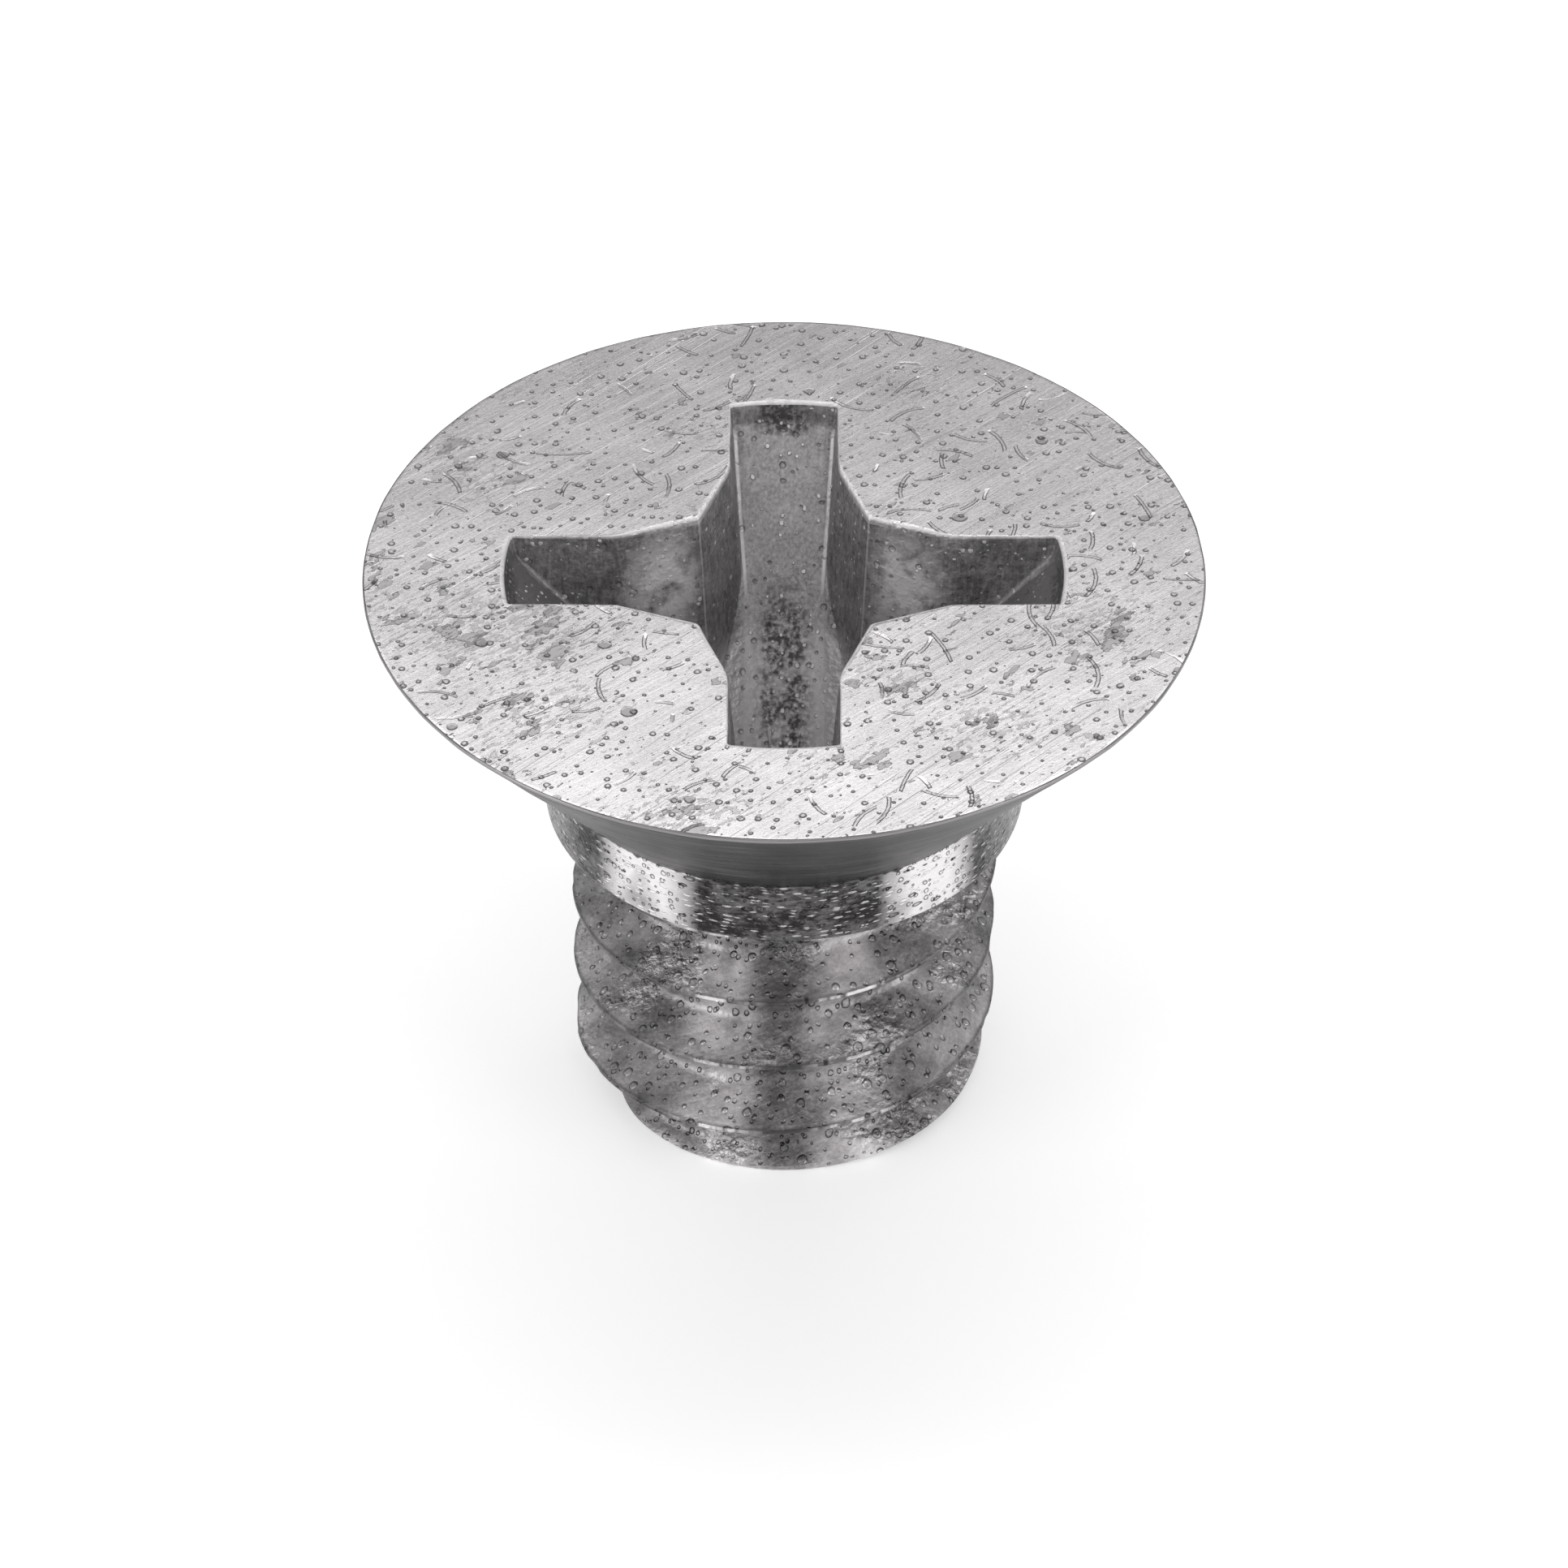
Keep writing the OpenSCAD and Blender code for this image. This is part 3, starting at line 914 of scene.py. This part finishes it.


# The recess was pressed by a punch: fine marks run down its walls, and a dark oily film is left at
# the wing tips and towards the bottom, with bright specks of grit that are painted glints. Painted
# light and shade lie over it: a bright patch of painted reflection on the flares of the side wings,
# painted highlights in thin lines at the creases, corners and lip, walls painted darker as shade,
# and a bottom painted lighter, with paler patches of painted reflection.
def pressed_surface(tree, steel):
    place = millimetres(tree)
    *_, mark = unrolled(tree)
    z = add(tree, SPLIT, place).outputs["Z"]
    depth = add(tree, MATH, HEAD_TOP / MM, z, operation="SUBTRACT")
    # The greater and lesser distance from the two planes through the wings' middles.
    folded = add(tree, VECTOR, place, operation="ABSOLUTE")
    across, beyond, _ = add(tree, SPLIT, folded).outputs
    outer = add(tree, MATH, across, beyond, operation="MAXIMUM")
    inner = add(tree, MATH, across, beyond, operation="MINIMUM")

    rough_place = shaken(tree, place, 0.09, 0.02)
    drawn = streaks(tree, place, (1 / 24, 1 / 24, 1 / 2.4))
    grain = streaks(tree, place, (0.8, 0.05, 0.3), GRIND_TURN)
    sand = streaks(tree, place, (1 / 22,) * 3, 0.0, 3.0, 0.7)
    clouds = blotches(tree, place, 0.6, 0.35, 0.65)
    pit, rim = pits(tree, rough_place, 0.2, 0.02, 0.06, 0.9, "3D")

    # Old film lies at the bottom and at the wing tips, with bright specks of grit in it, painted as
    # glints.
    bottom = product(tree, (depth, 1.9, 2.6), (inner, 0.5, 0.2))
    tips = product(tree, (outer, 3.86, 3.93), (inner, 0.5, 0.25))
    grime = product(tree, blotches(tree, rough_place, 0.075, 0.3, 0.62, 4.0, seed=4.4),
                    blotches(tree, place, 0.4, 0.2, 0.45, 2.0, seed=5.0))
    film = product(tree, weighted(tree, (bottom, 0.9), (tips, 1.1), (0.2, 1.0)), grime)
    share = weighted(tree, (bottom, 0.55), (0.28, 1.0))
    grit_glints, _ = pits(tree, rough_place, 0.11, 0.016, 0.044, share, "3D", seed=13.0, wall=0.012)

    # The walls are lumpy and painted darker as shade, and a bright patch of painted reflection lies
    # on the flares of the side wings.
    on_wall = add(tree, RANGE, inner, 0.6, 0.68)
    lumps = product(tree, blotches(tree, rough_place, 0.13, 0.35, 0.7, 2.0, seed=27.0), on_wall)
    flare = add(tree, "ShaderNodeCombineXYZ", outer, depth)
    flare_reflection = product(tree, near(tree, flare, (1.75, 1.05, 0), (0.46, 0.75, 1)),
                     (inner, 0.55, 0.75), (across, 1.2, 1.35),
                     blotches(tree, place, 0.28, 0.28, 0.52, 5.0, seed=8.8))
    side_floor = product(tree, (across, 2.2, 2.6), (beyond, 0.66, 0.6))

    # Painted highlights lie in bright lines at the inner corners, on the crease, up the wings'
    # seams and on the worn lip, together with the grit's painted glints.
    corner = add(tree, MATH, outer, inner, operation="SUBTRACT")
    corner = product(tree, (corner, 0.035, 0.015), on_wall)
    recess = settings().recess
    half_w = add(tree, MATH, depth, -math.tan(recess.wing_draft), recess.wing_width / 2 / MM,
                 operation="MULTIPLY_ADD")
    gap = add(tree, MATH, half_w, inner, operation="SUBTRACT")
    seam = product(tree, (gap, 0.07, 0.045), (gap, 0.006, 0.014))
    crease = add(tree, MATH, mark, 1.0, operation="PINGPONG")
    crease = product(tree, (crease, 0.5, 1.0), 0.6)
    crease = add(tree, MATH, crease, seam, operation="MAXIMUM")
    crease = product(tree, crease, (outer, 3.9, 3.8), (depth, 2.4, 1.9), (across, 1.5, 1.3, 0.35))
    lip = add(tree, RANGE, mark, 1.2, 1.9)
    lines = weighted(tree, (grit_glints, 0.9), (crease, 1.0), (corner, 0.4), (lip, 0.72))

    # The tone: painted shade darkens the walls, painted light lightens the wings along the Y axis
    # and, much more, the bottom, to make up for its shade; the floors of the side wings are darker.
    tone = weighted(tree, (drawn, 0.9), (grain, 0.6), (sand, 1.1), (clouds, 0.35), (-1.05, 1.0),
                    (on_wall, -0.34), (add(tree, RANGE, across, 1.3, 1.15), 0.12),
                    (side_floor, -0.6), (add(tree, RANGE, depth, 2.6, 3.4), 1.7), (lumps, 0.3))
    # Painted reflections: paler patches at the bottom, between the wings.
    pale = product(tree, (depth, 2.5, 3.5), (inner, 0.1, 0.4))
    base = layered(tree, steel.recess_dark, (steel.recess_light, tone),
                   (steel.ground_light, pale, 0.6), (steel.recess_film, film),
                   (steel.ground_light, flare_reflection), (steel.recess_film, rim, 0.6),
                   (steel.ground_light, lines))
    roughness = weighted(tree, (0.4, 1.0), (clouds, 0.1), (film, 0.1))
    height = weighted(tree, (drawn, 0.004), (grain, 0.003), (sand, 0.003), (pit, -0.014),
                      (grit_glints, 0.014), (film, 0.006), (lumps, 0.014))
    return base, roughness, height


# The rim and the cone under it were turned: fine rings run round the axis and catch the light in
# thin level lines, over a dull grey. Painted light makes the cone's left and right sides lighter.
def cone_surface(tree, steel):
    place = millimetres(tree)
    _, around, _, mark = unrolled(tree)
    ring_marks = rings(tree, place, 1.6, 0.03)
    broad = rings(tree, place, 3.0, 0.14, 2.0)
    clouds = blotches(tree, place, 0.9, 0.35, 0.65, seed=2.2)
    pit, rim = pits(tree, shaken(tree, place, 0.08, 0.015), 0.3, 0.02, 0.05, 0.4, "3D", seed=3.0)
    circle = math.pi * settings().head.shoulder_diameter / MM
    # Painted light: the sides that face along the X axis, left and right, are lighter.
    side = add(tree, RANGE, lobes(tree, around, circle / 2, circle / 4), 0.6, 0.1)
    tone = weighted(tree, (ring_marks, 2.0), (broad, 0.4), (clouds, 0.3), (-1.28, 1.0),
                    (side, 0.28))
    base = layered(tree, steel.turned_dark, (steel.turned_light, tone), (steel.groove, rim, 0.5),
                   (steel.ground_dark, mark, 0.6))
    roughness = weighted(tree, (0.36, 1.0), (clouds, 0.1))
    height = weighted(tree, (ring_marks, 0.008), (broad, 0.006), (pit, -0.01))
    return base, roughness, height


# How many bright bands of painted reflection the shoulder and the thread have round the axis, and
# where one lies, from the front.
SHOULDER_BANDS, SHOULDER_BAND_START = 5, math.radians(-90 + 37)
THREAD_BANDS, THREAD_BAND_START = 9, math.radians(-90 + 20)
# Depth of the shoulder's upper edge under the flat, in mm.
SHOULDER_TOP = 3.016


# The shoulder was turned smoother than the cone. Five bands round it are nearly white painted
# reflections, dark between them; its left and right sides are painted lighter, and small painted
# glints sprinkle it. It has rusted a little: it is scattered with pits and short dashes, and a dark
# line of painted shade, with small drips of old oil, lies in the groove under the cone.
def shoulder_surface(tree, steel):
    place = millimetres(tree)
    own, around, down, _ = unrolled(tree)
    rough_place = shaken(tree, own, 0.1, 0.02)
    ring_marks = rings(tree, place, 1.2, 0.045)
    clouds = blotches(tree, place, 0.55, 0.38, 0.62, seed=6.2)
    scaly = streaks(tree, own, (1 / 6, 1 / 14, 1), 0.0, 4.0, 0.7)
    circle = math.pi * settings().head.shoulder_diameter / MM
    # Painted reflections: five nearly white bands round the axis, broken up by blotches.
    band = lobes(tree, around, circle / SHOULDER_BANDS, SHOULDER_BAND_START * circle / math.tau)
    band = product(tree, (band, 0.64, 0.95),
                   blotches(tree, place, 1.2, 0.18, 0.46, 2.0, seed=15.0))
    # Painted light: the sides that face along the X axis, left and right, are lighter.
    side = add(tree, RANGE, lobes(tree, around, circle / 2, circle / 4), 0.35, 0.1)

    # Dashes and glints are pits in a pattern that is drawn out round the axis. The glints are
    # painted highlights.
    dash_place = add(tree, VECTOR, rough_place, (0.55, 1.3, 1), operation="MULTIPLY")
    glint_place = add(tree, VECTOR, rough_place, (0.42, 1.4, 1), operation="MULTIPLY")
    pit, rim = pits(tree, rough_place, 0.15, 0.018, 0.05, 0.75, seed=1.0, wall=0.02)
    dash, dash_rim = pits(tree, dash_place, 0.24, 0.02, 0.055, 0.6, seed=17.0, wall=0.02)
    glint, _ = pits(tree, glint_place, 0.085, 0.01, 0.036, 0.6, seed=41.0, wall=0.012)
    # A dark line of painted shade in the groove under the cone, with small drips of old oil.
    drip = streaks(tree, own, (1 / 4, 1 / 0.4, 0), 0.0, 1.0)
    drip = add(tree, RANGE, drip, 0.5, 0.85, 0.03, 0.14)
    groove = add(tree, MATH, drip, SHOULDER_TOP, operation="ADD")
    groove = add(tree, RANGE, add(tree, MATH, groove, down, operation="SUBTRACT"), 0.0, 0.03)

    tone = weighted(tree, (ring_marks, 0.5), (clouds, 0.5), (scaly, 2.0), (-1.3, 1.0), (side, 0.6))
    base = layered(tree, steel.turned_dark, (steel.turned_light, tone),
                   (steel.ground_light, weighted(tree, (band, 0.95), (glint, 0.5))),
                   (steel.groove, weighted(tree, (rim, 0.75), (dash, 0.35), (dash_rim, 0.8),
                                           (groove, 0.9))))
    roughness = weighted(tree, (0.26, 1.0), (clouds, 0.1))
    height = weighted(tree, (ring_marks, 0.004), (pit, -0.014), (dash, -0.014), (glint, 0.012),
                      (scaly, 0.012))
    return base, roughness, height


# The thread was rolled: its flanks are grey with a soft slanting grain. Faint lengthwise bands of
# painted reflection lie at its front and back, and its left and right sides are painted lighter. It
# is pitted and blistered with old rust, dark in the roots, and a painted highlight runs along its
# crests in a thin broken line within the bands.
def thread_surface(tree, steel):
    place = millimetres(tree)
    own, around, _, from_crest = unrolled(tree)
    rough_place = shaken(tree, own, 0.1, 0.02)
    soft = streaks(tree, place, (1 / 3.2,) * 3, 0.0, 5.0)
    sand = streaks(tree, place, (1 / 18,) * 3, 0.0, 3.0, 0.7)
    grain = streaks(tree, own, (0.9, 0.05, 1), math.radians(-25), 2.0)
    clouds = blotches(tree, place, 0.9, 0.36, 0.64, seed=8.2)
    circle = math.pi * settings().thread.diameter / MM
    # Painted reflections: nine bands round the axis, shown only at the front and back; the left and
    # right sides are painted lighter in the tone below.
    pressed = lobes(tree, around, circle / 2, -circle / 4)
    band = lobes(tree, around, circle / THREAD_BANDS, THREAD_BAND_START * circle / math.tau)
    band = product(tree, (band, 0.1, 0.9), (pressed, 0.3, 0.8),
                   blotches(tree, place, 0.9, 0.22, 0.45, seed=19.0))

    pit, rim = pits(tree, rough_place, 0.21, 0.025, 0.055, 0.6, seed=2.0, wall=0.022)
    blister, blister_rim = pits(tree, rough_place, 0.29, 0.035, 0.09, 0.65, seed=23.0, wall=0.035)
    lumps = product(tree, blotches(tree, place, 0.22, 0.4, 0.75, 4.0, seed=31.0),
                    blotches(tree, place, 1.7, 0.5, 0.62, 1.0, seed=28.0))
    oil = blotches(tree, place, 0.6, 0.54, 0.66, 4.0, seed=33.0)
    root = add(tree, RANGE, from_crest, 0.3, 0.5)

    # The crest's dark edge, its bright line of painted highlight, which breaks off in places and
    # shows only in the bands, and chips out of it.
    breaks = streaks(tree, own, (1 / 2.2, 1 / 0.5, 0))
    edge = add(tree, RANGE, from_crest, 0.07, 0.04)
    crest = product(tree, (from_crest, 0.04, 0.025), (breaks, 0.46, 0.54), band)
    chip = product(tree, (from_crest, 0.09, 0.04), (breaks, 0.38, 0.34))

    tone = weighted(tree, (soft, 0.8), (grain, 0.4), (sand, 0.9), (clouds, 0.4), (band, 0.75),
                    (add(tree, RANGE, pressed, 0.9, 0.25), 0.36), (-1.18, 1.0))
    stain = weighted(tree, (rim, 0.5), (blister_rim, 0.55), (root, 0.35), (oil, 0.3))
    base = layered(tree, steel.rolled_dark, (steel.rolled_light, tone), (steel.groove, stain),
                   (steel.turned_dark, edge, 0.7), (steel.ground_light, crest, 0.9),
                   (steel.groove, chip, 0.8))
    roughness = weighted(tree, (0.42, 1.0), (clouds, 0.1))
    height = weighted(tree, (soft, 0.03), (grain, 0.003), (sand, 0.004), (pit, -0.016),
                      (blister, 0.028), (lumps, 0.07))
    return base, roughness, height


# ---------------------------------------------------------------- studio

# Half the floor's width in metres.
FLOOR_HALF = 1.0


def build_floor(studio):
    """The floor: a square of matt paper. What the camera, a mirror or a glass sees of it is made
    paler, and the shadow on it is kept."""
    mesh = bpy.data.meshes.new("floor")
    corners = [(-1, -1), (1, -1), (1, 1), (-1, 1)]
    mesh.from_pydata([(x * FLOOR_HALF, y * FLOOR_HALF, 0) for x, y in corners], [], [(0, 1, 2, 3)])
    material = bpy.data.materials.new("matt_paper")
    material.use_nodes = True
    tree = material.node_tree
    shader = tree.nodes["Principled BSDF"]
    shader.inputs["Base Color"].default_value = studio.floor
    shader.inputs["Roughness"].default_value = 0.9
    shader.inputs["Emission Color"].default_value = studio.floor
    rays = add(tree, "ShaderNodeLightPath").outputs
    seen = rays["Is Camera Ray"]
    for ray in ("Is Glossy Ray", "Is Transmission Ray"):
        seen = add(tree, MATH, seen, rays[ray], operation="MAXIMUM")
    plug(tree, product(tree, seen, studio.floor_lift), shader.inputs["Emission Strength"])
    mesh.materials.append(material)
    return set_out("floor", mesh)


# Each lamp's name, its azimuth round from the camera and its elevation in degrees, its distance,
# width and height in mm, and its brightness, where 1 is as bright as lit white paper.
LAMPS = [
    ("back", 180, 62, 88, 110, 62, 1.6),
    ("front", 0, 52, 150, 110, 90, 1.1),
    ("left", -62, 14, 110, 60, 50, 3.7),
    ("right", 62, 14, 110, 60, 50, 3.7),
]


def face(holder, aim, azimuth, elevation, distance):
    """Puts an object at distance from aim, at an azimuth and elevation, and turns it to aim."""
    level = math.cos(elevation)
    back = Vector((math.sin(azimuth) * level, -math.cos(azimuth) * level, math.sin(elevation)))
    holder.location = aim + back * distance
    holder.rotation_mode = "QUATERNION"
    holder.rotation_quaternion = (-back).to_track_quat("-Z", "Y")


def add_lamp(aim, name, azimuth, elevation, distance, width, height, brightness):
    """An area lamp that faces aim, from a place round it. Its power is pi x area x brightness."""
    lamp = bpy.data.lights.new(name, "AREA")
    lamp.shape = "RECTANGLE"
    lamp.size, lamp.size_y = width * MM, height * MM
    lamp.energy = math.pi * lamp.size * lamp.size_y * brightness
    holder = set_out(name, lamp)
    face(holder, aim, math.radians(azimuth), math.radians(elevation), distance * MM)
    holder.visible_camera = False


# ---------------------------------------------------------------- operators


class SCREW_OT_build_screw(bpy.types.Operator):
    """Builds the screw as one closed piece of steel"""

    bl_idname = "screw.build_screw"
    bl_label = "Build Screw"
    bl_options = {"REGISTER", "UNDO"}

    def execute(self, context):
        materials = [
            metal("pressed_steel", pressed_surface, 0.5),
            metal("ground_worn_steel", ground_surface),
            metal("turned_steel", cone_surface),
            metal("turned_pitted_steel", shoulder_surface),
            metal("rolled_steel", thread_surface),
        ]
        piece = make_piece("machine_screw", *build_screw_mesh(settings()), materials)
        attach(piece, "root")
        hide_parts("screw")
        return {"FINISHED"}


class SCREW_OT_build_studio(bpy.types.Operator):
    """Builds the pale floor, the soft lights and the camera"""

    bl_idname = "screw.build_studio"
    bl_label = "Build Studio"
    bl_options = {"REGISTER", "UNDO"}

    def execute(self, context):
        studio = settings().studio
        scene = context.scene
        scene.view_settings.view_transform = "Standard"
        floor = build_floor(studio)

        scene.world = bpy.data.worlds.new("room")
        scene.world.use_nodes = True
        background = scene.world.node_tree.nodes["Background"]
        background.inputs["Color"].default_value = studio.world
        background.inputs["Strength"].default_value = studio.world_strength

        aim = Vector((0, 0, studio.aim_height))
        for lamp in LAMPS:
            add_lamp(aim, *lamp)

        camera = bpy.data.cameras.new("camera")
        camera.lens = studio.lens
        camera.sensor_width = 36.0
        camera.clip_start = 0.005
        camera.clip_end = 5.0
        scene.camera = set_out("camera", camera)
        face(scene.camera, aim, 0.0, studio.elevation, studio.distance)
        return {"FINISHED"}


class CountersunkScrewSettings(bpy.types.PropertyGroup):
    """All sizes and colours of the screw and its studio."""

    head: bpy.props.PointerProperty(type=ScrewHeadSettings)
    thread: bpy.props.PointerProperty(type=ScrewThreadSettings)
    recess: bpy.props.PointerProperty(type=ScrewRecessSettings)
    steel: bpy.props.PointerProperty(type=ScrewSteelSettings)
    studio: bpy.props.PointerProperty(type=StudioSettings)


class SCREW_PT_panel(bpy.types.Panel):
    """Lists the screw's sizes and colours and its two operators"""

    bl_idname = "SCREW_PT_panel"
    bl_label = "Countersunk Screw"
    bl_space_type = "VIEW_3D"
    bl_region_type = "UI"
    bl_category = "Screw"

    def draw(self, context):
        layout = self.layout
        sizes = context.scene.countersunk_screw
        for label in ("head", "thread", "recess", "steel", "studio"):
            box = layout.box()
            box.label(text=label.title())
            group = getattr(sizes, label)
            for key in group.__annotations__:
                box.prop(group, key)
        layout.operator(SCREW_OT_build_screw.bl_idname)
        layout.operator(SCREW_OT_build_studio.bl_idname)


CLASSES = (
    ScrewHeadSettings,
    ScrewThreadSettings,
    ScrewRecessSettings,
    ScrewSteelSettings,
    StudioSettings,
    CountersunkScrewSettings,
    SCREW_OT_build_screw,
    SCREW_OT_build_studio,
    SCREW_PT_panel,
)


def register():
    for cls in CLASSES:
        bpy.utils.register_class(cls)
    bpy.types.Scene.countersunk_screw = bpy.props.PointerProperty(type=CountersunkScrewSettings)


def unregister():
    del bpy.types.Scene.countersunk_screw
    for cls in reversed(CLASSES):
        bpy.utils.unregister_class(cls)


def main():
    """Builds the studio and the screw."""
    register()
    bpy.ops.screw.build_studio()
    bpy.ops.screw.build_screw()


if __name__ == "__main__":
    main()
